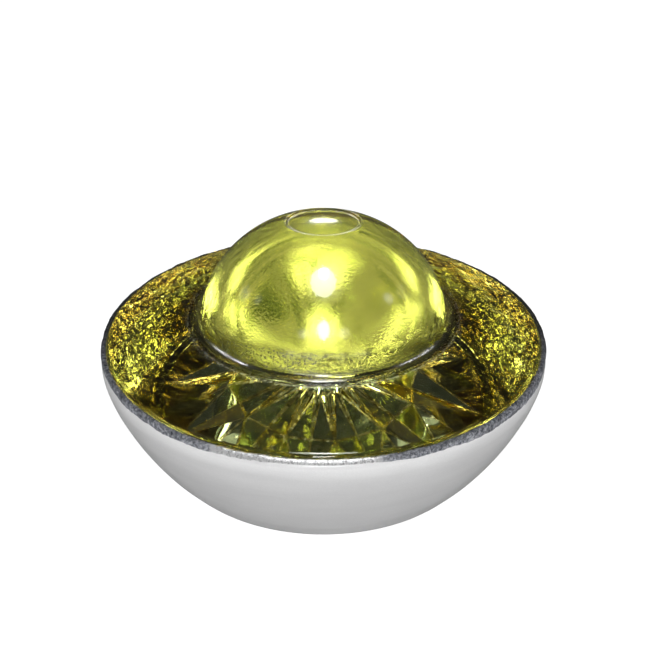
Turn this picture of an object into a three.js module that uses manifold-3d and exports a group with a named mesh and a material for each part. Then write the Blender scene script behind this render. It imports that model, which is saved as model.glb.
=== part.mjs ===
// All-round glass road stud (raised pavement marker).
//
// One pressed and toughened block of tinted glass carries a dome, a sloping
// shoulder, a rounded rim, a bowl-shaped flank and a foot ring. A star of
// facets is pressed up into its underside. The back of the glass wears thin
// coats, one over the other: mirror film, undercoat and silver topcoat, with a
// bead at the rim that seals their edges. Units are millimetres, +Z is up, and
// the origin is at the centre of the foot.
//
// The real coats are a few hundredths of a millimetre thick. Here each is a
// solid shell a few tenths thick, so that it is a body of its own.

import * as THREE from "three";
import { mergeVertices } from "three/addons/utils/BufferGeometryUtils.js";
import Module from "manifold-3d";

// ---------------------------------------------------------------- dimensions
const SEG = 48;                 // facets round every turned surface

const RIM_Z = 29.75;            // height of the rim circle above the foot
const RIM_R = 50.0;             // largest radius of the finished stud

const DOME_R = 28.05;           // dome: half width at its equator
const DOME_H = 26.5;            // dome: height from its equator to its apex
const DOME_EQ_Z = RIM_Z + 4.3;  // dome: height of its equator
const DOME_FOOT_Z = RIM_Z + 9.2;// dome: where the fillet to the shoulder starts
const MARK_R = 8.6;             // shallow round press mark near the apex
const MARK_Y = 3.9;             // how far its centre lies off the axis
const MARK_D = 0.45;            // its depth

const RING_R = 30.4;            // step line where dome fillet meets shoulder
const RING_Z = RIM_Z + 7.1;
const SHOULDER_END_R = 47.8;    // shoulder meets the rim rounding
const SHOULDER_END_Z = RIM_Z + 1.3;

const FILM_T = 0.25;            // mirror film
const UNDER_T = 0.25;           // undercoat
const TOP_T = 0.35;             // silver topcoat
const GAP = 0.06;               // clearance between coats
const STACK = 3 * GAP + FILM_T + UNDER_T + TOP_T;

// Flank of the glass, from the rim down to the foot: [radius, height].
const FLANK = [
  [48.85, 29.2], [48.8, 25.9], [47.56, 22.1], [45.68, 18.23], [43.45, 14.3],
  [40.79, 10.36], [37.68, 6.42], [34.18, 2.74], [32.7, 1.35],
];
const FOOT_Z = STACK;           // underside of the glass foot ring
const FOOT_R = 32.1;            // outer edge of the flat foot
const MOUTH_R = 30.2;           // inner edge of the flat foot

// Star of facets pressed up into the underside of the glass. Each of its
// STAR_N points sends a fan of narrow facets towards the middle.
const STAR_N = 12;
const STAR_PHASE = 7;           // degrees from +X to the first point
const STAR_MOUTH_Z = FOOT_Z + 0.3;
const STAR_P = [19.0, 6.0];     // ring of STAR_N points: radius, height
const STAR_M = [17.6, 5.0];     // one saddle between each two points
const STAR_Q = [7.2, 7.3];      // inner ends of the fans
const STAR_FAN = 5;             // fan edges for each point
const STAR_SPAN = 22;           // angle that one fan's inner ends cover
const STAR_PLEAT = 0.5;         // fan edges alternate up and down by this
const STAR_CAP = [[4.0, 8.1]];  // smooth middle: radius, height
const STAR_TOP_Z = 8.4;

const UNDER_TOP_Z = RIM_Z - 1.35;// upper edges of the coats
const FILM_TOP_Z = RIM_Z - 1.35;
const TOP_TOP_Z = RIM_Z - 2.0;
// Section of the bead round the rim: [radius, height over the rim circle].
const SEAL = [
  [48.92, -1.25], [49.85, -1.25], [RIM_R, -0.7], [49.92, -0.1],
  [49.6, 0.35], [49.1, 0.45], [48.92, 0.1],
];

// ------------------------------------------------------------------- helpers
const wasm = await Module();
wasm.setup();

function solid(geometry) {
  let g = geometry.clone();
  g.deleteAttribute("normal");
  g.deleteAttribute("uv");
  g = mergeVertices(g, 1e-4);
  const index = Array.from(g.index.array);
  const tri = [];
  for (let i = 0; i < index.length; i += 3) {
    const [a, b, c] = [index[i], index[i + 1], index[i + 2]];
    if (a !== b && b !== c && c !== a) tri.push(a, b, c);
  }
  return new wasm.Manifold(new wasm.Mesh({
    numProp: 3,
    vertProperties: new Float32Array(g.attributes.position.array),
    triVerts: new Uint32Array(tri),
  }));
}

function geometry(manifold) {
  const m = manifold.getMesh();
  const p = new Float32Array(m.numVert * 3);
  for (let i = 0; i < m.numVert; i++)
    for (let k = 0; k < 3; k++) p[3 * i + k] = m.vertProperties[i * m.numProp + k];
  const g = new THREE.BufferGeometry();
  g.setAttribute("position", new THREE.BufferAttribute(p, 3));
  g.setIndex(Array.from(m.triVerts));
  g.computeVertexNormals();
  return g;
}

// Turn a closed [radius, height] profile about Z. LatheGeometry turns about Y.
// The profile runs from the bottom axis point outwards and up to the top one.
function turned(profile) {
  const g = new THREE.LatheGeometry(profile.map(([r, z]) => new THREE.Vector2(r, z)), SEG);
  g.rotateX(Math.PI / 2);
  return solid(g);
}

// Profile moved outwards along its own normals by d.
function offset(profile, d) {
  return profile.map((p, i) => {
    const a = profile[Math.max(i - 1, 0)], b = profile[Math.min(i + 1, profile.length - 1)];
    const t = [b[0] - a[0], b[1] - a[1]], len = Math.hypot(...t);
    return [p[0] - (t[1] / len) * d, p[1] + (t[0] / len) * d];
  });
}

function smooth(points, n) {
  const c = new THREE.SplineCurve(points.map(([r, z]) => new THREE.Vector2(r, z)));
  return c.getSpacedPoints(n).map((v) => [v.x, v.y]);
}

// Solid whose top is the star of facets, lowered by d; its base is flat.
function star(d, mouth, base) {
  const v = [], f = [];
  const ring = (n, r, z, phase) => {
    const first = v.length;
    for (let i = 0; i < n; i++) {
      const a = (2 * Math.PI * (i + phase)) / n;
      v.push([r * Math.cos(a), r * Math.sin(a), z]);
    }
    return (i) => first + ((i % n) + n) % n;
  };
  const N = STAR_N, K = STAR_FAN, p0 = STAR_PHASE / 360;
  const A0 = ring(2 * N, mouth, base, 2 * N * p0);
  const A = ring(2 * N, mouth, STAR_MOUTH_Z - d, 2 * N * p0);
  const P = ring(N, STAR_P[0], STAR_P[1] - d, N * p0);
  const M = ring(N, STAR_M[0], STAR_M[1] - d, N * p0 + 0.5);
  const fan = (r, z, pleat) => {
    const first = v.length;
    for (let i = 0; i < N * K; i++) {
      const j = Math.floor(i / K), k = i % K;
      const a = (Math.PI / 180) * (STAR_PHASE + (360 * j) / N + (k / (K - 1) - 0.5) * STAR_SPAN);
      v.push([r * Math.cos(a), r * Math.sin(a), z - d + (k % 2 ? pleat : -pleat)]);
    }
    return (i) => first + (i % (N * K));
  };
  const Q = fan(STAR_Q[0], STAR_Q[1], STAR_PLEAT);
  const C = STAR_CAP.map(([r, z]) => fan(r, z, 0));
  const top = v.length; v.push([0, 0, STAR_TOP_Z - d]);
  const low = v.length; v.push([0, 0, base]);
  for (let i = 0; i < 2 * N; i++) {
    f.push([low, A0(i + 1), A0(i)], [A0(i), A0(i + 1), A(i + 1)], [A0(i), A(i + 1), A(i)]);
  }
  for (let i = 0; i < N; i++) {
    const side = A(2 * i + 1), first = K * i, last = K * i + K - 1;
    f.push([A(2 * i), side, P(i)], [side, M(i), P(i)], [side, P(i + 1), M(i)]);
    f.push([side, A(2 * i + 2), P(i + 1)]);
    for (let k = first; k < last; k++) f.push([P(i), Q(k + 1), Q(k)]);
    f.push([P(i), M(i), Q(last)], [M(i), Q(last + 1), Q(last)], [M(i), P(i + 1), Q(last + 1)]);
  }
  const rings = [Q, ...C];
  for (let i = 0; i < N * K; i++) {
    for (let k = 0; k + 1 < rings.length; k++) {
      const [o, n] = [rings[k], rings[k + 1]];
      f.push([o(i), o(i + 1), n(i + 1)], [o(i), n(i + 1), n(i)]);
    }
    const n = rings[rings.length - 1];
    f.push([n(i), n(i + 1), top]);
  }
  const g = new THREE.BufferGeometry();
  g.setAttribute("position", new THREE.BufferAttribute(new Float32Array(v.flat()), 3));
  g.setIndex(f.flat());
  return solid(g);
}

// ------------------------------------------------------------------ profiles
const flank = smooth(FLANK, 8);
const back = [...flank, [FOOT_R, FOOT_Z]];   // rim to foot, going down

// The back of the glass, grown by d and closed by a flat top at height zTop.
function backSolid(d, zTop) {
  const line = offset(back, d);
  line[line.length - 1] = [FOOT_R + d * 0.4, FOOT_Z - d];
  const up = line.reverse().filter(([, z]) => z < zTop - 0.3);
  const last = up[up.length - 1];
  const src = offset(back, d);
  let r = last[0];
  for (let i = 0; i + 1 < src.length; i++) {
    const [p, q] = [src[i], src[i + 1]];
    if (p[1] >= zTop && q[1] < zTop) r = q[0] + ((p[0] - q[0]) * (zTop - q[1])) / (p[1] - q[1]);
  }
  if (zTop > src[0][1]) r = src[0][0];
  return turned([[0, up[0][1]], ...up, [r, zTop], [0, zTop]]);
}

// Coat on the back of the glass between the offsets d1 and d2, up to zTop.
function coat(d1, d2, zTop) {
  const outer = backSolid(d2, zTop).subtract(star(d2, MOUTH_R - d2, -5));
  const inner = backSolid(d1, zTop + 3).subtract(star(d1, MOUTH_R - d1, -5));
  return outer.subtract(inner);
}

// -------------------------------------------------------------------- pieces
function glassBody() {
  const top = [];
  const t0 = Math.asin((DOME_FOOT_Z - DOME_EQ_Z) / DOME_H);
  for (let i = 0; i <= 15; i++) {
    const t = t0 + ((Math.PI / 2 - t0) * i) / 15;
    top.push([i < 15 ? DOME_R * Math.cos(t) : 0, DOME_EQ_Z + DOME_H * Math.sin(t)]);
  }
  const [rf, zf] = top[0];
  const fillet = [];
  for (let i = 4; i >= 1; i--) {
    const t = i / 4;
    fillet.push([
      (1 - t) ** 2 * rf + 2 * t * (1 - t) * 28.3 + t * t * RING_R,
      (1 - t) ** 2 * zf + 2 * t * (1 - t) * (RING_Z + 0.1) + t * t * RING_Z,
    ]);
  }
  const shoulder = [];
  for (let i = 4; i >= 1; i--) {
    const t = i / 4;
    shoulder.push([
      RING_R + (SHOULDER_END_R - RING_R) * t,
      RING_Z + (SHOULDER_END_Z - RING_Z) * t + 0.6 * 4 * t * (1 - t),
    ]);
  }
  const rim = [[48.85, RIM_Z + 0.1], [48.6, RIM_Z + 0.8]];
  const up = [...back].reverse();
  // The press mark takes the dome's own surface down by MARK_D inside a circle.
  const pin = new THREE.CylinderGeometry(MARK_R, MARK_R, 30, SEG);
  pin.rotateX(Math.PI / 2);
  pin.translate(0, MARK_Y, DOME_EQ_Z + DOME_H);
  const below = turned([[0, RIM_Z], [top[0][0], RIM_Z], ...top.map(([r, z]) => [r, z - MARK_D])]);
  return turned([[0, FOOT_Z], ...up, ...rim, ...shoulder, ...fillet, ...top])
    .subtract(star(0, MOUTH_R, -5))
    .subtract(solid(pin).subtract(below));
}

const d1 = GAP, d2 = d1 + FILM_T, d3 = d2 + GAP, d4 = d3 + UNDER_T, d5 = d4 + GAP, d6 = d5 + TOP_T;
const core = (r) => turned([[0, -6], [r, -6], [r, RIM_Z], [0, RIM_Z]]);
const seal = SEAL.map(([r, z]) => [r, RIM_Z + z]);
const film = coat(d1, d2, FILM_TOP_Z);

const PIECES = {
  glass_body: [glassBody(), { color: 0xc9c23a, roughness: 0.03, metalness: 0.0 }],
  flank_mirror_film: [film.subtract(core(MOUTH_R + 0.1)), { color: 0xd8c568, roughness: 0.12, metalness: 1.0 }],
  facet_mirror_film: [film.intersect(core(MOUTH_R * 0.985 - d2)), { color: 0xc9bd70, roughness: 0.08, metalness: 1.0 }],
  undercoat: [coat(d3, d4, UNDER_TOP_Z), { color: 0x6f7276, roughness: 0.7, metalness: 0.2 }],
  silver_topcoat: [coat(d5, d6, TOP_TOP_Z), { color: 0xc4c5c6, roughness: 0.38, metalness: 0.6 }],
  rim_edge_seal: [turned([...seal, seal[0]]), { color: 0x74787c, roughness: 0.85, metalness: 0.25 }],
};

const marker = new THREE.Group();
marker.name = "raised_pavement_marker";
for (const [name, [body, look]] of Object.entries(PIECES)) {
  const mesh = new THREE.Mesh(geometry(body), new THREE.MeshStandardMaterial(look));
  mesh.name = name;
  marker.add(mesh);
}

export default marker;
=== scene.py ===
# Looks of the all-round glass road stud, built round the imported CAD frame.
# Lengths below are in millimetres in the CAD's own frame (origin at the centre
# of the foot, +Z up) and are turned into metres when a mesh is made.
import math

import bpy
import bmesh
import numpy as np
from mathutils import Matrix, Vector, noise


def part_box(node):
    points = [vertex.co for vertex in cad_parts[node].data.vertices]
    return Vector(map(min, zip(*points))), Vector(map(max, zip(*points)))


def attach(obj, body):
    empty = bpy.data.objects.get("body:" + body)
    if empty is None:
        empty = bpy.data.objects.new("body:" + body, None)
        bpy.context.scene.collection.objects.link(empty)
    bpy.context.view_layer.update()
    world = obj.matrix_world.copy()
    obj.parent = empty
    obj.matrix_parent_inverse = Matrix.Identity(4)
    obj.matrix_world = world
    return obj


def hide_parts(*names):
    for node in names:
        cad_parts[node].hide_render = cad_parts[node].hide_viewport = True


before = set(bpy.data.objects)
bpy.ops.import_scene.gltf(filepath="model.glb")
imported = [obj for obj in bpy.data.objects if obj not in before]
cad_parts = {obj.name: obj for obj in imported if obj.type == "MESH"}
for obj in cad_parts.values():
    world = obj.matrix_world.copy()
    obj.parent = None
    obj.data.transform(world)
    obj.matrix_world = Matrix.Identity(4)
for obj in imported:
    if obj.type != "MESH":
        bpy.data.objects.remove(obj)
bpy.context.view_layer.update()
MM = 0.001


# ------------------------------------------------------------ sizes from CAD
lo_seal, hi_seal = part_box("rim_edge_seal")
lo_glass, hi_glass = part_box("glass_body")
RIM_Z = round(hi_seal[2] / MM - 0.45, 3)          # rim circle
RIM_R = round((hi_seal[0] - lo_seal[0]) / 2 / MM, 3)
FOOT_Z = lo_glass[2] / MM                         # underside of the glass foot
DOME_R, DOME_H, DOME_EQ = 28.05, 26.5, RIM_Z + 4.3
RING_R, RING_Z = 30.4, RIM_Z + 7.1
MARK, MARK_R, MARK_D = (0.0, 3.8), 8.2, 0.5
MOUTH_R = 30.2
FLANK = [(48.85, 29.2), (48.8, 25.9), (47.56, 22.1), (45.68, 18.23), (43.45, 14.3),
         (40.79, 10.36), (37.68, 6.42), (34.18, 2.74), (32.7, 1.35)]
FOOT_R = 32.1
FILM_IN, FILM_OUT = 0.0, 0.3
UNDER_IN, UNDER_OUT = 0.36, 0.62
TOP_IN, TOP_OUT = 0.68, 1.02


# ------------------------------------------------------------------- helpers
def smooth01(x):
    x = np.clip(x, 0, 1)
    return x * x * (3 - 2 * x)


def catmull(pts, per):
    p = np.array(pts, float)
    n = len(p)
    out = []
    for i in range(n - 1):
        a, b, c, d = p[max(i - 1, 0)], p[i], p[i + 1], p[min(i + 2, n - 1)]
        for k in range(per):
            t = k / per
            out.append(0.5 * (2 * b + (c - a) * t + (2 * a - 5 * b + 4 * c - d) * t * t
                              + (-a + 3 * b - 3 * c + d) * t ** 3))
    out.append(p[-1])
    return np.array(out)


def even(line, n):
    line = np.array(line, float)
    s = np.r_[0, np.cumsum(np.hypot(*np.diff(line, axis=0).T))]
    t = np.linspace(0, s[-1], n)
    return np.c_[np.interp(t, s, line[:, 0]), np.interp(t, s, line[:, 1])]


def offset(line, d):
    """Moves a [r, z] line that runs down the flank outwards by d."""
    line = np.array(line, float)
    t = np.gradient(line, axis=0)
    t /= np.hypot(t[:, 0], t[:, 1])[:, None]
    return line + d * np.c_[-t[:, 1], t[:, 0]]


def ring_points(line, n, radial=None):
    """Points of a turned grid, rows down the line, n columns, in millimetres."""
    a = 2 * np.pi * np.arange(n) / n
    r = line[:, 0][:, None] + (0 if radial is None else radial)
    z = np.repeat(line[:, 1][:, None], n, 1)
    return np.stack([r * np.cos(a), r * np.sin(a), z], -1)


def grid_faces(rows, n, first=0, flip=False):
    i, j = np.meshgrid(np.arange(rows - 1), np.arange(n), indexing="ij")
    k = (j + 1) % n
    f = np.stack([first + i * n + j, first + (i + 1) * n + j,
                  first + (i + 1) * n + k, first + i * n + k], -1).reshape(-1, 4)
    return (f[:, ::-1] if flip else f).tolist()


def bridge(a_idx, a_ang, b_idx, b_ang, flip=False):
    """Triangles between two closed rings with different numbers of points."""
    a = sorted(zip(np.mod(a_ang, 2 * np.pi), a_idx))
    b = sorted(zip(np.mod(b_ang, 2 * np.pi), b_idx))
    s = min(range(len(b)), key=lambda q: abs(((b[q][0] - a[0][0] + np.pi) % (2 * np.pi)) - np.pi))
    b = b[s:] + [(t + 2 * np.pi, i) for t, i in b[:s]]
    if b[0][0] - a[0][0] > np.pi:
        b = [(t - 2 * np.pi, i) for t, i in b]
    i = j = 0
    na, nb = len(a), len(b)
    at = [t for t, _ in a] + [a[0][0] + 2 * np.pi]
    bt = [t for t, _ in b] + [b[0][0] + 2 * np.pi]
    out = []
    while i < na or j < nb:
        if j >= nb or (i < na and at[i + 1] <= bt[j + 1]):
            out.append([a[i % na][1], b[j % nb][1], a[(i + 1) % na][1]]); i += 1
        else:
            out.append([a[i % na][1], b[j % nb][1], b[(j + 1) % nb][1]]); j += 1
    return [f[::-1] for f in out] if flip else out


def make(name, verts, faces, materials, face_mat=None, smooth=True, fix=True):
    me = bpy.data.meshes.new(name)
    me.from_pydata([tuple(v) for v in (np.asarray(verts) * MM).tolist()], [], faces)
    for m in materials:
        me.materials.append(m)
    if face_mat is not None:
        me.polygons.foreach_set("material_index", np.array(face_mat, dtype=np.int32))
    if fix:
        bm = bmesh.new()
        bm.from_mesh(me)
        bmesh.ops.recalc_face_normals(bm, faces=bm.faces)
        bm.to_mesh(me)
        bm.free()
    me.polygons.foreach_set("use_smooth", np.full(len(me.polygons), smooth))
    me.update()
    ob = bpy.data.objects.new(name, me)
    bpy.context.scene.collection.objects.link(ob)
    return ob


def fbm(p, scale, octaves=3, seed=0.0, gain=0.5):
    """Smooth noise of an N x 3 array of points in millimetres."""
    off = Vector((seed * 17.3, seed * 5.1 + 3.7, seed * 9.9))
    out = np.empty(len(p))
    for i, q in enumerate(p):
        v, a, s = 0.0, 1.0, scale
        for _ in range(octaves):
            v += a * noise.noise(Vector((q[0] * s, q[1] * s, q[2] * s)) + off)
            a *= gain
            s *= 2.03
        out[i] = v
    return out


def ridged(p, scale, octaves=3, seed=0.0, gain=0.55):
    """Creased noise: thin ridges such as a crumpled film has, 0 to about 1."""
    off = Vector((seed * 11.3, seed * 7.9 + 1.7, seed * 3.3))
    out = np.empty(len(p))
    for i, q in enumerate(p):
        v, a, s, w = 0.0, 1.0, scale, 0.0
        for _ in range(octaves):
            v += a * (1 - abs(2.2 * noise.noise(Vector((q[0] * s, q[1] * s, q[2] * s)) + off)))
            w += a
            a *= gain
            s *= 2.1
        out[i] = v / w
    return out


# ------------------------------------------------------------- star of facets
def star_mesh(bevel, seg):
    """Facets of the underside recess at the glass surface, edges rounded by
    bevel. Returns vertices (mm), faces, face kinds and the outer ring."""
    N, K, PH, SPAN = 12, 5, math.radians(7), math.radians(22)
    P, M, Q = (19.0, 6.0), (17.6, 5.0), (7.2, 7.3)
    bm = bmesh.new()

    def V(r, t, z):
        return bm.verts.new((r * math.cos(t), r * math.sin(t), z))
    T = 2 * math.pi / N
    A = [V(MOUTH_R, PH + j * T / 2, FOOT_Z + 0.3) for j in range(2 * N)]
    Pk = [V(P[0], PH + j * T, P[1]) for j in range(N)]
    Mk = [V(M[0], PH + (j + 0.5) * T, M[1]) for j in range(N)]
    ang = [PH + (j // K) * T + ((j % K) / (K - 1) - 0.5) * SPAN for j in range(N * K)]
    Qk = [V(Q[0], t, Q[1] + (0.5 if (j % K) % 2 else -0.5)) for j, t in enumerate(ang)]
    n = N * K
    facets, caps = [], []
    for j in range(N):
        p, q = Pk[j], Pk[(j + 1) % N]
        a0, a1, a2, m = A[2 * j], A[2 * j + 1], A[(2 * j + 2) % (2 * N)], Mk[j]
        tris = [(a0, p, a1), (p, m, a1), (m, q, a1), (a1, q, a2)]
        for i in range(K - 1):
            tris.append((p, Qk[K * j + i], Qk[K * j + i + 1]))
        ql, qf = Qk[K * j + K - 1], Qk[(K * (j + 1)) % n]
        tris += [(p, ql, m), (m, ql, qf), (m, qf, q)]
        facets += [bm.faces.new(t) for t in tris]
    prev = Qk
    for r, z in ((5.6, 7.8), (4.0, 8.1), (2.0, 8.3)):
        cur = [V(r, t, z) for t in ang]
        for j in range(n):
            caps.append(bm.faces.new((prev[j], cur[j], cur[(j + 1) % n], prev[(j + 1) % n])))
        prev = cur
    top = V(0, 0, 8.4)
    for j in range(n):
        caps.append(bm.faces.new((prev[j], top, prev[(j + 1) % n])))
    bmesh.ops.recalc_face_normals(bm, faces=bm.faces)
    if sum(f.normal.z for f in bm.faces) < 0:
        bmesh.ops.reverse_faces(bm, faces=bm.faces)
    cap_set = set(caps)
    edges = [e for e in bm.edges if not e.is_boundary and not all(f in cap_set for f in e.link_faces)]
    if bevel:
        bmesh.ops.bevel(bm, geom=edges, offset=bevel, segments=seg, profile=0.5,
                        affect="EDGES", clamp_overlap=True, loop_slide=True, material=1)
    bmesh.ops.triangulate(bm, faces=[f for f in bm.faces if len(f.verts) > 4])
    bm.verts.index_update()
    verts = np.array([v.co[:] for v in bm.verts])
    faces = [[v.index for v in f.verts] for f in bm.faces]
    kinds = [f.material_index for f in bm.faces]
    edge_v = sorted({v.index for e in bm.edges if e.is_boundary for v in e.verts})
    bm.free()
    return verts, faces, edge_v, kinds


def join(parts):
    """Joins (verts, faces, kinds) parts into one set."""
    vs, fs, ks, first = [], [], [], 0
    for v, f, k in parts:
        vs.append(v)
        fs += [[i + first for i in q] for q in f]
        ks += [k] * len(f) if np.isscalar(k) else list(k)
        first += len(v)
    return np.vstack(vs), fs, ks


# --------------------------------------------------------------- node helpers
def new_mat(name):
    m = bpy.data.materials.new(name)
    m.use_nodes = True
    nt = m.node_tree
    nt.nodes.clear()
    out = nt.nodes.new("ShaderNodeOutputMaterial")
    b = nt.nodes.new("ShaderNodeBsdfPrincipled")
    nt.links.new(b.outputs[0], out.inputs[0])
    return m, nt, b, out


def node(nt, kind, **kw):
    n = nt.nodes.new(kind)
    for k, v in kw.items():
        if k.startswith("_"):
            setattr(n, k[1:], v)
        else:
            n.inputs[k.replace("__", " ")].default_value = v
    return n


def coords(nt, scale=1.0, stretch=(1, 1, 1)):
    tc = nt.nodes.new("ShaderNodeTexCoord")
    mp = nt.nodes.new("ShaderNodeMapping")
    mp.inputs["Scale"].default_value = [scale * s for s in stretch]
    nt.links.new(tc.outputs["Object"], mp.inputs["Vector"])
    return mp.outputs["Vector"]


def noise_tex(nt, vec, scale, detail=4, rough=0.55, distort=0.0):
    n = nt.nodes.new("ShaderNodeTexNoise")
    n.inputs["Scale"].default_value = scale
    n.inputs["Detail"].default_value = detail
    n.inputs["Roughness"].default_value = rough
    n.inputs["Distortion"].default_value = distort
    nt.links.new(vec, n.inputs["Vector"])
    return n


def ramp(nt, src, stops):
    r = nt.nodes.new("ShaderNodeValToRGB")
    el = r.color_ramp.elements
    while len(el) > 1:
        el.remove(el[-1])
    el[0].position, el[0].color = stops[0][0], stops[0][1]
    for p, c in stops[1:]:
        e = el.new(p)
        e.color = c
    nt.links.new(src, r.inputs["Fac"])
    return r


def grey(v):
    return (v, v, v, 1)


def maths(nt, op, a, b=None, clamp=False):
    m = nt.nodes.new("ShaderNodeMath")
    m.operation = op
    m.use_clamp = clamp
    for i, x in enumerate((a, b)):
        if x is None:
            continue
        if isinstance(x, (int, float)):
            m.inputs[i].default_value = x
        else:
            nt.links.new(x, m.inputs[i])
    return m.outputs[0]


def maprange(nt, src, a, b, c, d, smooth=True):
    m = nt.nodes.new("ShaderNodeMapRange")
    m.interpolation_type = "SMOOTHSTEP" if smooth else "LINEAR"
    for k, v in zip(("From Min", "From Max", "To Min", "To Max"), (a, b, c, d)):
        m.inputs[k].default_value = v
    nt.links.new(src, m.inputs["Value"])
    return m.outputs["Result"]


def radius_height(nt):
    """Distance from the axis and height of the shaded point, in metres."""
    tc = nt.nodes.new("ShaderNodeTexCoord")
    s = nt.nodes.new("ShaderNodeSeparateXYZ")
    nt.links.new(tc.outputs["Object"], s.inputs[0])
    x2 = maths(nt, "MULTIPLY", s.outputs[0], s.outputs[0])
    y2 = maths(nt, "MULTIPLY", s.outputs[1], s.outputs[1])
    return maths(nt, "SQRT", maths(nt, "ADD", x2, y2)), s.outputs[2]


def bump(nt, height, strength, distance, normal=None):
    b = nt.nodes.new("ShaderNodeBump")
    b.inputs["Strength"].default_value = strength
    b.inputs["Distance"].default_value = distance
    nt.links.new(height, b.inputs["Height"])
    if normal is not None:
        nt.links.new(normal, b.inputs["Normal"])
    return b.outputs["Normal"]


# ------------------------------------------------------------------ materials
def glass_material():
    m, nt, b, out = new_mat("tinted_pressed_glass")
    b.inputs["Transmission Weight"].default_value = 1.0
    b.inputs["IOR"].default_value = 1.52
    r, z = radius_height(nt)
    v = coords(nt)
    n1 = noise_tex(nt, v, 90, 3, 0.5, 0.6)
    n2 = noise_tex(nt, v, 900, 3, 0.6)
    # a faint haze on the dome, clear shoulder, ground line where they meet
    dome = maths(nt, "MULTIPLY", maprange(nt, r, 0.0292, 0.0300, 1, 0),
                 maprange(nt, z, (RIM_Z + 6) * MM, (RIM_Z + 9) * MM, 0, 1))
    cloud = maprange(nt, n1.outputs["Fac"], 0.38, 0.64, 0.02, 0.08)
    haze = maths(nt, "MULTIPLY", dome, cloud)
    off = maths(nt, "ABSOLUTE", maths(nt, "SUBTRACT", r, 0.03045))
    high = maprange(nt, z, (RIM_Z + 5.5) * MM, (RIM_Z + 6.2) * MM, 0, 1)
    line = maths(nt, "MULTIPLY", maprange(nt, off, 0.00012, 0.0004, 1, 0), maprange(nt, n2.outputs["Fac"], 0.42, 0.62, 0.1, 1.0))
    pits = noise_tex(nt, v, 2600, 3, 0.7)
    band = maths(nt, "MULTIPLY", maprange(nt, off, 0.0002, 0.0016, 1, 0), maprange(nt, pits.outputs["Fac"], 0.52, 0.60, 0, 0.75))
    seam = maths(nt, "MULTIPLY", maths(nt, "MAXIMUM", line, band), high)
    # ground band between the mould line and the seam, widest at the front: a ground finish in the roughness, painted
    # shade in the colour
    tc = nt.nodes.new("ShaderNodeTexCoord")
    sp = nt.nodes.new("ShaderNodeSeparateXYZ")
    nt.links.new(tc.outputs["Object"], sp.inputs[0])
    seam = maths(nt, "MULTIPLY", seam, maprange(nt, sp.outputs[1], -0.022, -0.004, 1.0, 0.35))
    edge = maths(nt, "ADD", maprange(nt, sp.outputs[1], -0.024, -0.010, 13.6 * MM, 9.4 * MM),
                 maths(nt, "MULTIPLY", maths(nt, "SUBTRACT", n1.outputs["Fac"], 0.5), 0.004))
    low = maths(nt, "SUBTRACT", maths(nt, "SUBTRACT", z, RIM_Z * MM), edge)
    grind_and_shade = maths(nt, "MULTIPLY", maprange(nt, low, -0.0016, 0.0006, 1, 0), maprange(nt, r, 0.0303, 0.0306, 1, 0))
    ground = maths(nt, "MULTIPLY", grind_and_shade, high)
    grind_and_shade = maths(nt, "MULTIPLY", ground, maprange(nt, pits.outputs["Fac"], 0.40, 0.60, 0.12, 1.0))
    rough = maths(nt, "ADD", haze, maths(nt, "ADD", maths(nt, "MULTIPLY", seam, 0.4), maths(nt, "MULTIPLY", grind_and_shade, 0.20)), clamp=True)
    nt.links.new(rough, b.inputs["Roughness"])
    nt.links.new(maths(nt, "MULTIPLY", dome, 1.0), b.inputs["Coat Weight"])
    nt.links.new(maprange(nt, n1.outputs["Fac"], 0.38, 0.64, 0.18, 0.26), b.inputs["Coat Roughness"])
    base = ramp(nt, n1.outputs["Fac"], [(0.3, (0.985, 0.99, 0.93, 1)), (0.7, (1.0, 0.995, 0.96, 1))])
    # painted shade: the glass colour is darkened nearly to black over the band, most at the front
    shade = maths(nt, "ADD", maths(nt, "MULTIPLY", ground, 0.64), maths(nt, "MULTIPLY", grind_and_shade, 0.36), clamp=True)
    darkened = colour_mix(nt, shade, base.outputs[0], (0.07, 0.07, 0.05, 1))
    nt.links.new(darkened, b.inputs["Base Color"])
    tr = maths(nt, "SUBTRACT", 1.0, maths(nt, "MULTIPLY", seam, 0.22))
    nt.links.new(tr, b.inputs["Transmission Weight"])
    # fire-polished skin of the dome, finely pitted
    n3 = noise_tex(nt, v, 1700, 2, 0.5)
    h = maths(nt, "MULTIPLY", maths(nt, "SUBTRACT", n3.outputs["Fac"], 0.5), dome)
    nt.links.new(bump(nt, h, 1.0, 0.000005), b.inputs["Normal"])
    va = nt.nodes.new("ShaderNodeVolumeAbsorption")
    va.inputs["Color"].default_value = (0.93, 0.925, 0.15, 1)
    va.inputs["Density"].default_value = 13.0
    nt.links.new(va.outputs[0], out.inputs["Volume"])
    return m


def mirror_base(name, rough_lo, rough_hi, fine=1500):
    m, nt, b, out = new_mat(name)
    b.inputs["Metallic"].default_value = 1.0
    v = coords(nt)
    n2 = noise_tex(nt, v, fine, 5, 0.62, 0.7)
    nt.links.new(maprange(nt, n2.outputs["Fac"], 0.3, 0.7, rough_lo, rough_hi), b.inputs["Roughness"])
    return m, nt, b, v, n2


def colour_mix(nt, fac, a, b, kind="MIX"):
    mix = nt.nodes.new("ShaderNodeMix")
    mix.data_type = "RGBA"
    mix.blend_type = kind
    ins = [i for i in mix.inputs if i.type == "RGBA"]
    f = [i for i in mix.inputs if i.type == "VALUE"][0]
    for sock, x in ((f, fac), (ins[0], a), (ins[1], b)):
        if isinstance(x, (int, float, tuple)):
            sock.default_value = x
        else:
            nt.links.new(x, sock)
    return [o for o in mix.outputs if o.type == "RGBA"][0]


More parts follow.
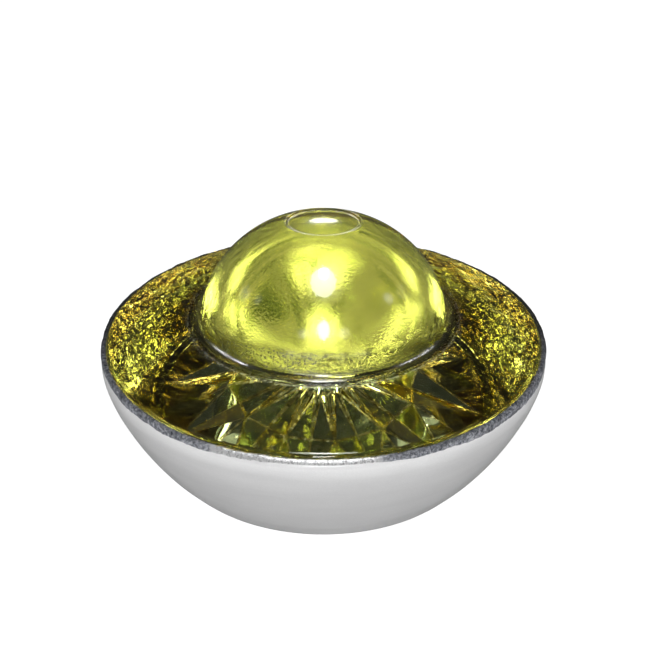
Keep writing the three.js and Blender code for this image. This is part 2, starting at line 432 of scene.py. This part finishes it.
def flank_mirror_material():
    m, nt, b, v, fine = mirror_base("crinkled_mirror_film", 0.02, 0.08, 4600)
    r, z = radius_height(nt)
    # wet-laid silver: finely stained low down, brassy where it thins at the rim
    grain = noise_tex(nt, v, 21000, 2, 0.6)
    blotch = maths(nt, "ADD", maths(nt, "MULTIPLY", fine.outputs["Fac"], 0.80),
                   maths(nt, "MULTIPLY", grain.outputs["Fac"], 0.20))
    stain = ramp(nt, blotch, [(0.40, (0.13, 0.20, 0.05, 1)), (0.465, (0.55, 0.63, 0.28, 1)),
                              (0.53, (1.0, 1.0, 0.78, 1))])
    mid = noise_tex(nt, v, 900, 3, 0.6, 0.8)
    gold = ramp(nt, mid.outputs["Fac"], [(0.41, (0.07, 0.07, 0.035, 1)), (0.53, (0.32, 0.30, 0.15, 1)),
                                         (0.63, (1.0, 0.95, 0.60, 1))])
    tc = nt.nodes.new("ShaderNodeTexCoord")
    sp = nt.nodes.new("ShaderNodeSeparateXYZ")
    nt.links.new(tc.outputs["Object"], sp.inputs[0])
    back = maprange(nt, sp.outputs[1], 0.024, 0.033, 0, 1)
    big = noise_tex(nt, v, 210, 4, 0.6, 1.0)
    brass = ramp(nt, big.outputs["Fac"], [(0.36, (0.42, 0.29, 0.10, 1)), (0.45, (1.0, 0.74, 0.28, 1)),
                                          (0.58, (1.0, 0.90, 0.48, 1))])
    w = maprange(nt, maths(nt, "ADD", z, maths(nt, "MULTIPLY", big.outputs["Fac"], 0.006)), 0.014, 0.020, 0, 1)
    low = colour_mix(nt, back, gold.outputs[0], stain.outputs[0])
    flaw = noise_tex(nt, v, 520, 3, 0.62, 1.2)
    darkened = ramp(nt, flaw.outputs["Fac"], [(0.41, (0.20, 0.16, 0.08, 1)), (0.48, (0.85, 0.80, 0.66, 1)),
                                          (0.53, (1.0, 1.0, 1.0, 1))])
    side_worn = colour_mix(nt, back, darkened.outputs[0], (1.0, 1.0, 1.0, 1.0))
    gilt = colour_mix(nt, 1.0, brass.outputs[0], side_worn, "MULTIPLY")
    nt.links.new(colour_mix(nt, w, low, gilt), b.inputs["Base Color"])
    wave = noise_tex(nt, v, 2200, 1, 0.5)
    ripple = noise_tex(nt, v, 9000, 1, 0.5)
    h = bump(nt, wave.outputs["Fac"], 1.0, 0.000012)
    h = bump(nt, ripple.outputs["Fac"], 1.0, 0.0000015, h)
    fold = noise_tex(nt, v, 420, 2, 0.5, 0.5)
    side = maths(nt, "MULTIPLY", fold.outputs["Fac"], maths(nt, "SUBTRACT", 1.0, back))
    nt.links.new(bump(nt, side, 1.0, 0.00014, h), b.inputs["Normal"])
    return m


def star_edge_material():
    """The thin silver along the pressed edges, a little rough and brassy."""
    m, nt, b, v, fine = mirror_base("star_edge_film", 0.06, 0.30, 500)
    c = ramp(nt, fine.outputs["Fac"], [(0.34, (0.55, 0.46, 0.18, 1)), (0.5, (1.0, 0.92, 0.55, 1)),
                                       (0.66, (1.0, 1.0, 0.82, 1))])
    nt.links.new(c.outputs[0], b.inputs["Base Color"])
    return m


def star_mirror_material():
    m, nt, b, v, fine = mirror_base("star_mirror_film", 0.02, 0.06, 1100)
    big = noise_tex(nt, v, 240, 4, 0.6, 0.8)
    c = ramp(nt, big.outputs["Fac"], [(0.32, (0.50, 0.60, 0.58, 1)), (0.50, (0.80, 0.92, 0.98, 1)),
                                      (0.7, (0.90, 0.97, 1.0, 1))])
    d = ramp(nt, fine.outputs["Fac"], [(0.30, grey(0.62)), (0.44, grey(1.0))])
    nt.links.new(colour_mix(nt, 1.0, c.outputs[0], d.outputs[0], "MULTIPLY"), b.inputs["Base Color"])
    wave = noise_tex(nt, v, 300, 1, 0.5)
    nt.links.new(bump(nt, wave.outputs["Fac"], 1.0, 0.00006), b.inputs["Normal"])
    return m


def paint_material():
    m, nt, b, out = new_mat("satin_silver_paint")
    v = coords(nt)
    wipe = noise_tex(nt, coords(nt, 1, (1, 1, 7)), 38, 4, 0.55, 0.4)
    flake = noise_tex(nt, v, 5200, 2, 0.5)
    blot = noise_tex(nt, v, 60, 3, 0.5)
    c1 = ramp(nt, wipe.outputs["Fac"], [(0.25, (0.84, 0.84, 0.845, 1)), (0.75, (0.95, 0.95, 0.95, 1))])
    mix = nt.nodes.new("ShaderNodeMix")
    mix.data_type = "RGBA"
    mix.blend_type = "MULTIPLY"
    mix.inputs["Factor"].default_value = 0.25
    f = ramp(nt, flake.outputs["Fac"], [(0.35, grey(0.72)), (0.65, grey(1.0))])
    nt.links.new(c1.outputs[0], mix.inputs["A"])
    nt.links.new(f.outputs[0], mix.inputs["B"])
    r, z = radius_height(nt)
    # painted shade and highlight: the paint colour darkens towards the bottom of the bowl and brightens to white at
    # the rounded lip under the rim
    up = ramp(nt, maprange(nt, z, 0.006, (RIM_Z - 0.8) * MM, 0, 1, False),
              [(0.0, grey(0.585)), (0.55, grey(0.645)), (0.82, grey(0.74)), (0.95, grey(1.0))])
    nt.links.new(colour_mix(nt, 1.0, mix.outputs["Result"], up.outputs[0], "MULTIPLY"), b.inputs["Base Color"])
    b.inputs["Metallic"].default_value = 0.3
    nt.links.new(maprange(nt, blot.outputs["Fac"], 0.3, 0.7, 0.28, 0.38), b.inputs["Roughness"])
    h = bump(nt, flake.outputs["Fac"], 0.12, 0.00004)
    h = bump(nt, wipe.outputs["Fac"], 0.25, 0.00012, h)
    nt.links.new(h, b.inputs["Normal"])
    return m


def speckle_material(name, dark, mid, light, scale=1400, top=False):
    m, nt, b, out = new_mat(name)
    v = coords(nt)
    a = noise_tex(nt, v, scale, 4, 0.7, 0.3)
    c = noise_tex(nt, v, scale * 0.22, 3, 0.6)
    r1 = ramp(nt, a.outputs["Fac"], [(0.36, dark), (0.5, mid), (0.64, light)])
    r2 = ramp(nt, c.outputs["Fac"], [(0.35, grey(0.72)), (0.65, grey(1.12))])
    mix = nt.nodes.new("ShaderNodeMix")
    mix.data_type = "RGBA"
    mix.blend_type = "MULTIPLY"
    mix.inputs["Factor"].default_value = 1.0
    nt.links.new(r1.outputs[0], mix.inputs["A"])
    nt.links.new(r2.outputs[0], mix.inputs["B"])
    col = mix.outputs["Result"]
    if top:                                       # painted shade: the upper edge is darkened to near black, most at the back
        r, z = radius_height(nt)
        up = maths(nt, "ADD", z, maths(nt, "MULTIPLY", c.outputs["Fac"], 0.0006))
        w = maprange(nt, up, (RIM_Z + 0.02) * MM, (RIM_Z + 0.42) * MM, 0, 1)
        tc = nt.nodes.new("ShaderNodeTexCoord")
        sp = nt.nodes.new("ShaderNodeSeparateXYZ")
        nt.links.new(tc.outputs["Object"], sp.inputs[0])
        w = maths(nt, "MULTIPLY", w, maprange(nt, sp.outputs[1], -0.014, 0.010, 0.15, 1))
        col = colour_mix(nt, w, col, (0.022, 0.023, 0.026, 1))
        # silver paint laps over the sealer along the front
        side = maths(nt, "ABSOLUTE", maths(nt, "ADD", sp.outputs[0], 0.006))
        side = maths(nt, "ADD", side, maths(nt, "MULTIPLY", c.outputs["Fac"], 0.010))
        lap = maths(nt, "MULTIPLY", maprange(nt, side, 0.020, 0.026, 1, 0),
                    maprange(nt, sp.outputs[1], -0.020, 0.0, 1, 0))
        col = colour_mix(nt, lap, col, (0.74, 0.74, 0.745, 1))
    nt.links.new(col, b.inputs["Base Color"])
    rough = maprange(nt, a.outputs["Fac"], 0.35, 0.65, 0.85, 0.5)
    b.inputs["Metallic"].default_value = 0.35
    if top:
        nt.links.new(maprange(nt, lap, 0, 1, 0.25, 0.6, False), b.inputs["Metallic"])
        rough = maths(nt, "SUBTRACT", rough, maths(nt, "MULTIPLY", lap, 0.35))
    nt.links.new(rough, b.inputs["Roughness"])
    nt.links.new(bump(nt, a.outputs["Fac"], 0.6, 0.00015), b.inputs["Normal"])
    return m


GLASS = glass_material()
MIR_FLANK = flank_mirror_material()
MIR_STAR = star_mirror_material()
MIR_EDGE = star_edge_material()
PAINT = paint_material()
UNDER = speckle_material("grey_undercoat", (0.07, 0.075, 0.085, 1), (0.22, 0.23, 0.25, 1), (0.5, 0.5, 0.52, 1))
SEAL = speckle_material("rim_seal", (0.055, 0.06, 0.075, 1), (0.20, 0.21, 0.235, 1), (0.50, 0.51, 0.54, 1), 1500, top=True)

# ------------------------------------------------------------ shared surfaces
NB = 600                                          # columns on the back
back_line = even(np.vstack([catmull(FLANK, 10), [FOOT_R, FOOT_Z]]), 84)
foot_line = even([back_line[-1], (MOUTH_R, FOOT_Z)], 4)[1:]
back_all = np.vstack([back_line, foot_line])


def crinkle(line, n):
    """How far the film dips into the glass at each point of the back."""
    p = ring_points(line, n).reshape(-1, 3)
    z = p[:, 2]
    r = np.hypot(p[:, 0], p[:, 1])
    folds = ridged(p, 0.30, 2, 1)                 # folds a few millimetres apart
    fine = ridged(p, 0.75, 2, 2)                  # and crinkles about one apart
    soft = fbm(p, 0.12, 2, 3)
    rim = smooth01((z - 10) / 8)                  # lively near the rim, calm low down
    low = 0.16 + 0.6 * smooth01((z - 8.5) / 4)
    d = (low + (1 - low) * rim) * (0.34 * folds + 0.26 * fine + 0.10 * soft) + 0.05
    # laid smooth in the middle of the back, low down
    az = np.arctan2(p[:, 0], p[:, 1])
    calm = 0.9 * np.exp(-(az / 0.30) ** 2) * smooth01((13.5 - z) / 2.5)
    d = d * (1 - calm) + 0.12 * calm
    fade = smooth01((z - 1.3) / 1.2) * smooth01((RIM_Z - 0.6 - z) / 0.8)
    return (np.clip(d, 0, 0.9) * fade).reshape(len(line), n)


def back_sheet(d, n, star, dent=None, s0=None, roll=False):
    """Flank, foot and star recess at the offset d. Returns verts, faces, kinds
    and the number of rows. dent is taken off the radius of the flank."""
    line = offset(back_line, d)
    line[-1] = (FOOT_R + 0.4 * d, FOOT_Z - d)
    mouth = MOUTH_R - d
    foot = even([line[-1], (mouth, FOOT_Z - d)], 4)[1:]
    if roll:                                      # rounded upper edge of the paint
        t = np.clip((line[:, 1] - (RIM_Z - 1.7)) / 1.25, 0, 1)
        line[:, 0] -= 0.9 * (1 - np.sqrt(1 - 0.95 * t * t))
    if s0 is None:
        pts = ring_points(line, n, None if dent is None else -dent[:len(line)])
    else:
        s = np.r_[0, np.cumsum(np.hypot(*np.diff(line, axis=0).T))]
        t = s0[None, :] + (s[-1] - s0[None, :]) * (s / s[-1])[:, None]
        r = np.interp(t, s, line[:, 0])
        z = np.interp(t, s, line[:, 1])
        a = 2 * np.pi * np.arange(n) / n
        pts = np.stack([r * np.cos(a), r * np.sin(a), z], -1)
    pts = np.concatenate([pts, ring_points(foot, n)], 0)
    rows = len(pts)
    v1 = pts.reshape(-1, 3)
    f1 = grid_faces(rows, n)
    k1 = [0] * ((len(line) - 1) * n) + [1] * (len(foot) * n)
    sv, sf, ring = star[:3]
    sv = sv.copy()
    q = mouth / MOUTH_R
    sv[:, 0] *= q
    sv[:, 1] *= q
    sv[:, 2] -= d
    first = len(v1)
    last = list(range((rows - 1) * n, rows * n))
    f3 = bridge(last, [2 * np.pi * i / n for i in range(n)],
                [first + i for i in ring], [math.atan2(sv[i, 1], sv[i, 0]) for i in ring])
    verts = np.vstack([v1, sv])
    verts[:, 2] = np.maximum(verts[:, 2], 0.0)    # nothing below the seating plane
    faces = f1 + f3 + [[i + first for i in f] for f in sf]
    kinds = k1 + [1] * len(f3) + [2] * len(sf)
    return verts, faces, kinds, rows


star_fine = star_mesh(0.25, 2)
star_soft = star_mesh(0.5, 3)
dent = crinkle(back_all, NB)

# ----------------------------------------------------------------- the glass
def top_line():
    P = []
    t0 = math.asin((RIM_Z + 9.2 - DOME_EQ) / DOME_H)
    for r in np.linspace(0, 14.0, 46):
        P.append((r, DOME_EQ + DOME_H * math.sqrt(1 - (r / DOME_R) ** 2)))
    ta = math.acos(14.0 / DOME_R)
    for t in np.linspace(ta, t0, 36)[1:]:
        P.append((DOME_R * math.cos(t), DOME_EQ + DOME_H * math.sin(t)))
    rf, zf = P[-1]
    for t in np.linspace(0, 1, 13)[1:]:
        P.append(((1 - t) ** 2 * rf + 2 * t * (1 - t) * 28.3 + t * t * RING_R,
                  (1 - t) ** 2 * zf + 2 * t * (1 - t) * (RING_Z + 0.1) + t * t * RING_Z))
    r1, z1, r2, z2 = RING_R, RING_Z, 47.8, RIM_Z + 1.3
    for t in np.linspace(0, 1, 34)[1:]:
        x = (t * (r2 - r1))
        lip = 0.10 * math.exp(-((x - 0.15) / 0.22) ** 2)      # fine mould line
        P.append((r1 + (r2 - r1) * t, z1 + (z2 - z1) * t + 0.6 * 4 * t * (1 - t) + lip))
    for t in np.linspace(0, 1, 8)[1:]:
        a = math.radians(72 * (1 - t))
        P.append((47.8 + 1.05 * (math.cos(a) - math.cos(math.radians(72))) / (1 - math.cos(math.radians(72))),
                  RIM_Z - 0.25 + 1.55 * math.sin(a) / math.sin(math.radians(72))))
    return np.array(P)


def build_glass():
    line = top_line()
    n = 300
    rows = line[1:]
    pts = ring_points(rows, n).reshape(-1, 3)
    # round press mark a little behind the middle, with a soft raised lip
    far = np.hypot(pts[:, 0] - MARK[0], pts[:, 1] - MARK[1])
    top = pts[:, 2] > RIM_Z + 15
    cut = MARK_D * (1 - smooth01((far - MARK_R + 0.35) / 0.7)) - 0.05 * np.exp(-((far - MARK_R - 0.45) / 0.3) ** 2)
    pts[:, 2] -= cut * top
    # mould line low on the front of the dome: a fine broken ridge
    az = np.arctan2(pts[:, 1], pts[:, 0])
    h = pts[:, 2] - RIM_Z
    rad = np.hypot(pts[:, 0], pts[:, 1])
    a0 = 2 * np.pi * np.arange(n) / n
    q = np.c_[27 * np.cos(a0), 27 * np.sin(a0), np.zeros(n)]
    w1, w2 = fbm(q, 0.10, 2, 11), fbm(q, 0.45, 2, 12)
    front = smooth01((np.cos(a0 + math.pi / 2) - 0.25) / 0.45)
    z0 = 9.9 + 2.3 * front + 0.5 * w1
    amp = 0.20 * (0.25 + 0.75 * front) * np.clip(0.55 + 1.6 * w2, 0, 1.4)
    col = (np.arange(len(pts)) % n)
    push = amp[col] * np.exp(-((h - z0[col]) / 0.28) ** 2) * (rad < 28.2)
    push += 0.05 * fbm(pts * [1, 1, 0.4], 0.3, 2, 13) * smooth01((11.5 - h) / 3) * smooth01((30.6 - rad) / 1.0)
    pts[:, 0] += push * np.cos(az)
    pts[:, 1] += push * np.sin(az)
    v = [np.array([[0, 0, line[0, 1] - MARK_D]]), pts]
    faces = [[0, 1 + j, 1 + (j + 1) % n] for j in range(n)]
    faces += grid_faces(len(rows), n, 1)
    top_n = 1 + len(rows) * n
    bv, bf, bk, brows = back_sheet(-0.0, NB, (star_fine[0] - [0, 0, 0.03], star_fine[1], star_fine[2]),
                                   np.clip(dent - 0.03, 0, None))
    first_ring = [top_n + i for i in range(NB)]
    last_top = [1 + (len(rows) - 1) * n + j for j in range(n)]
    faces += bridge(last_top, [2 * np.pi * j / n for j in range(n)],
                    first_ring, [2 * np.pi * j / NB for j in range(NB)])
    faces += [[i + top_n for i in f] for f in bf]
    verts = np.vstack(v + [bv])
    return make("pressed_glass", verts, faces, [GLASS])


def build_flank_film():
    front = ring_points(back_all, NB, -(dent + 0.03))
    front[len(back_line):, :, 2] += 0.03
    out = offset(back_line, FILM_OUT)
    out[-1] = (FOOT_R + 0.4 * FILM_OUT, FOOT_Z - FILM_OUT)
    out = np.vstack([out, even([out[-1], (MOUTH_R, FOOT_Z - FILM_OUT)], 4)[1:]])
    back = ring_points(out, NB)
    r0 = 3                                        # starts just under the rim
    front, back = front[r0:], back[r0:]
    rows = len(front)
    v = np.vstack([front.reshape(-1, 3), back.reshape(-1, 3)])
    n1 = rows * NB
    faces = grid_faces(rows, NB) + grid_faces(rows, NB, n1, True)
    for a, flip in ((0, False), ((rows - 1) * NB, True)):
        for j in range(NB):
            k = (j + 1) % NB
            q = [a + j, a + k, n1 + a + k, n1 + a + j]
            faces.append(q[::-1] if flip else q)
    return make("mirror_film_flank", v, faces, [MIR_FLANK])


def build_star_film():
    sv, sf, ring, kinds = star_fine
    s = (MOUTH_R - 0.35) / MOUTH_R
    top = sv * [s, s, 1] + [0, 0, 0.02]
    low = sv * [s, s, 1] - [0, 0, 0.28]
    n = len(sv)
    faces = [list(f) for f in sf] + [[i + n for i in f[::-1]] for f in sf]
    order = sorted(ring, key=lambda i: math.atan2(sv[i, 1], sv[i, 0]))
    for a, b in zip(order, order[1:] + order[:1]):
        faces.append([a, a + n, b + n, b])
    kinds = kinds + [0] * (len(faces) - len(kinds))
    ob = make("mirror_film_star", np.vstack([top, low]), faces, [MIR_STAR, MIR_EDGE], kinds)
    mod = ob.modifiers.new("w", "WEIGHTED_NORMAL")
    mod.weight = 90
    bpy.context.view_layer.objects.active = ob
    for o in bpy.context.selected_objects:
        o.select_set(False)
    ob.select_set(True)
    bpy.ops.object.modifier_apply(modifier="w")
    return ob


def edge_noise(n, seed, scale, octaves=3):
    a = 2 * np.pi * np.arange(n) / n
    p = np.c_[50 * np.cos(a), 50 * np.sin(a), np.zeros(n)]
    return fbm(p, scale, octaves, seed)


def band(n):
    """How far the grey sealer runs down round the rim, against its CAD size."""
    a = np.degrees(2 * np.pi * np.arange(n) / n)
    at = [0, 30, 90, 150, 190, 215, 240, 262, 278, 300, 320, 340, 360]
    k = [0.9, 0.6, 0.5, 0.6, 0.8, 1.25, 1.0, 0.30, 0.30, 1.1, 1.9, 1.7, 0.9]
    return np.interp(a, at, k)


def build_coat(name, d_in, d_out, mat, s0, n=NB, roll=False):
    ov, of, ok, orows = back_sheet(d_out, n, star_soft, s0=s0, roll=roll)
    iv, jf, ik, irows = back_sheet(d_in, n, star_soft, s0=s0 + 0.05)
    first = len(ov)
    faces = of + [[i + first for i in f[::-1]] for f in jf]
    for j in range(n):
        k = (j + 1) % n
        faces.append([j, k, first + k, first + j])
    return make(name, np.vstack([ov, iv]), faces, [mat])


def build_seal():
    n, m = 900, 26
    sec = [(48.90, -1.30), (49.65, -1.42), (49.92, -1.1), (RIM_R - 0.02, -0.6), (49.93, -0.05),
           (49.62, 0.32), (49.2, 0.44), (48.88, 0.2), (48.86, -0.5), (48.90, -1.30)]
    line = even(catmull(sec, 8), m + 1)[:-1]
    a = 2 * np.pi * np.arange(n) / n
    c = line.mean(0)
    k = band(n) + 0.16 * edge_noise(n, 4, 0.35, 3) + 0.10 * edge_noise(n, 6, 1.3, 2)
    below = np.minimum(line[:, 1] + 0.3, 0)[:, None]
    zz = line[:, 1][:, None] + below * (np.clip(k, 0.12, 2.2) - 1)[None, :] + RIM_Z
    pts = np.stack([line[:, 0][:, None] * np.cos(a), line[:, 0][:, None] * np.sin(a), zz], -1)
    flat = pts.reshape(-1, 3)
    h = 0.10 * fbm(flat, 0.9, 3, 7) + 0.16 * fbm(flat, 0.22, 2, 8)
    h = h.reshape(len(line), n)
    d = line - c
    d /= np.hypot(d[:, 0], d[:, 1])[:, None]
    push = np.clip(h, -0.25, 0.12) * (line[:, 0] > 49.0)[:, None]
    r = line[:, 0][:, None] + d[:, 0][:, None] * push
    r = np.minimum(r, RIM_R + 0.05)
    z = zz + d[:, 1][:, None] * push
    pts = np.stack([r * np.cos(a), r * np.sin(a), z], -1)
    i, j = np.meshgrid(np.arange(m), np.arange(n), indexing="ij")
    k, l = (j + 1) % n, (i + 1) % m
    f = np.stack([i * n + j, l * n + j, l * n + k, i * n + k], -1).reshape(-1, 4).tolist()
    return make("rim_seal_bead", pts.reshape(-1, 3), f, [SEAL])


glass = build_glass()
film = build_flank_film()
star = build_star_film()
under = build_coat("undercoat_shell", UNDER_IN, UNDER_OUT, UNDER, np.full(NB, 0.35))
coat = build_coat("silver_paint_coat", TOP_IN, TOP_OUT, PAINT, np.full(NB, 0.1), roll=True)
seal = build_seal()

for piece, cad, slot in ((glass, "glass_body", "tinted_glass"), (film, "flank_mirror_film", "mirror_film"),
                         (star, "facet_mirror_film", "mirror_film"), (under, "undercoat", "undercoat"),
                         (coat, "silver_topcoat", "silver_paint"), (seal, "rim_edge_seal", "edge_seal")):
    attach(piece, "root")
    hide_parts(cad)

# --------------------------------------------------------------- stage, lights
def floor():
    n = 48
    xs = np.linspace(-2500, 2500, n)
    X, Y = np.meshgrid(xs, xs)
    v = np.c_[X.ravel(), Y.ravel(), np.full(n * n, -0.05)]
    f = [[i * n + j, i * n + j + 1, (i + 1) * n + j + 1, (i + 1) * n + j] for i in range(n - 1) for j in range(n - 1)]
    m, nt, b, out = new_mat("pale_floor")
    t = noise_tex(nt, coords(nt), 14, 3)
    c = ramp(nt, t.outputs["Fac"], [(0.3, grey(0.90)), (0.7, grey(0.92))])
    nt.links.new(c.outputs[0], b.inputs["Base Color"])
    b.inputs["Roughness"].default_value = 0.85
    b.inputs["Emission Color"].default_value = (1, 1, 1, 1)       # lit from under, like a light table
    b.inputs["Emission Strength"].default_value = 0.74
    return make("floor", v, f, [m], fix=False)


ground = floor()
ground.visible_glossy = False                      # glass and film mirror the dark studio, not the table
ground.visible_transmission = False


def lamp(loc, size, power, look=(0, 0, 0.03), name="softbox", shape="ELLIPSE", skin=True, inside=True, matt=None):
    """skin: seen mirrored in outer surfaces; inside: seen through the glass;
    matt: lights paint and table too."""
    l = bpy.data.lights.new(name, "AREA")
    l.shape = shape
    l.size, l.size_y = size
    l.energy = power
    o = bpy.data.objects.new(name, l)
    bpy.context.scene.collection.objects.link(o)
    o.location = loc
    o.rotation_euler = (Vector(look) - Vector(loc)).to_track_quat("-Z", "Y").to_euler()
    o.visible_glossy = skin
    o.visible_transmission = inside
    o.visible_diffuse = inside if matt is None else matt
    return o


def ball(az, el, d):
    az, el = math.radians(az), math.radians(el)
    return (d * math.cos(el) * math.cos(az), d * math.cos(el) * math.sin(az), 0.03 + d * math.sin(el))


lamp(ball(-90, 34, 1.1), (2.0, 1.3), 3.0, name="front_softbox", skin=False)
lamp(ball(-90, 29.2, 0.8), (0.08, 0.03), 0.012, name="low_flash", skin=False)
lamp(ball(-90, 31.9, 0.8), (0.045, 0.03), 0.009, name="high_flash", skin=False)
lamp(ball(-90, 33.5, 0.8), (0.14, 0.26), 1.3, name="camera_card", inside=False)
lamp(ball(-100, 29, 0.8), (0.03, 0.03), 0.007, name="left_flash", skin=False)
lamp(ball(-80, 29, 0.8), (0.03, 0.03), 0.007, name="right_flash", skin=False)
lamp(ball(-110, 29, 0.8), (0.13, 0.13), 1.5, name="left_key", skin=False, matt=False)
lamp(ball(-70, 29, 0.8), (0.13, 0.13), 1.5, name="right_key", skin=False, matt=False)
lamp(ball(-90, 24, 0.8), (0.03, 0.03), 0.05, name="dash_flash", skin=False)
lamp(ball(-90, 52, 1.1), (0.5, 0.4), 0.7, name="high_softbox", skin=False)
lamp(ball(-90, 88, 1.2), (0.16, 0.26), 1.7, name="top_softbox")
lamp(ball(-90, 79, 1.2), (0.42, 0.62), 5.5, name="top_card", inside=False)
lamp(ball(90, 20, 1.1), (0.20, 0.20), 0.5, name="back_card", inside=False)
lamp(ball(-135, 28, 1.0), (0.8, 0.8), 0.6, name="left_softbox", skin=False)
lamp(ball(-45, 28, 1.0), (0.8, 0.8), 0.6, name="right_softbox", skin=False)
lamp(ball(-90, 7, 1.1), (1.7, 0.07), 6.5, name="low_strip", shape="RECTANGLE", skin=False)
lamp(ball(-175, 35, 1.0), (0.15, 0.15), 3.6, name="left_high_spot", skin=False, matt=False)
lamp(ball(-5, 35, 1.0), (0.15, 0.15), 3.6, name="right_high_spot", skin=False, matt=False)
lamp(ball(168, 26, 1.0), (0.22, 0.22), 5.0, name="left_spot", skin=False, matt=False)
lamp(ball(12, 26, 1.0), (0.22, 0.22), 5.0, name="right_spot", skin=False, matt=False)
lamp(ball(150, 24, 1.0), (0.2, 0.2), 0.4, name="back_left_spot", skin=False)
lamp(ball(30, 24, 1.0), (0.2, 0.2), 0.4, name="back_right_spot", skin=False)
lamp(ball(174, 24, 1.0), (0.9, 0.9), 1.0, name="far_left_softbox", skin=False)
lamp(ball(6, 24, 1.0), (0.9, 0.9), 1.0, name="far_right_softbox", skin=False)

w = bpy.data.worlds.new("studio")
bpy.context.scene.world = w
w.use_nodes = True
wn = w.node_tree
bg = wn.nodes["Background"]
bg.inputs[0].default_value = (1, 1, 1, 1)
bg.inputs[1].default_value = 0.035

# --------------------------------------------------------------------- camera
D, ELEV, FPX = 0.8, math.radians(30.41), 4.451 * 800
cam = bpy.data.cameras.new("camera")
co = bpy.data.objects.new("camera", cam)
bpy.context.scene.collection.objects.link(co)
bpy.context.scene.camera = co
cam.sensor_width = 36
cam.lens = FPX / 650 * 36
cam.clip_start = 0.01
target = Vector((0, 0, RIM_Z * MM))
co.location = target + Vector((0, -D * math.cos(ELEV), D * math.sin(ELEV)))
co.rotation_euler = (target - co.location).to_track_quat("-Z", "Y").to_euler()
cam.shift_x = -(323.5 - 325) / 650
cam.shift_y = (344.1 - 325) / 650

sc = bpy.context.scene
sc.view_settings.view_transform = "Standard"
sc.cycles.max_bounces = 24
sc.cycles.transmission_bounces = 24
sc.cycles.glossy_bounces = 24
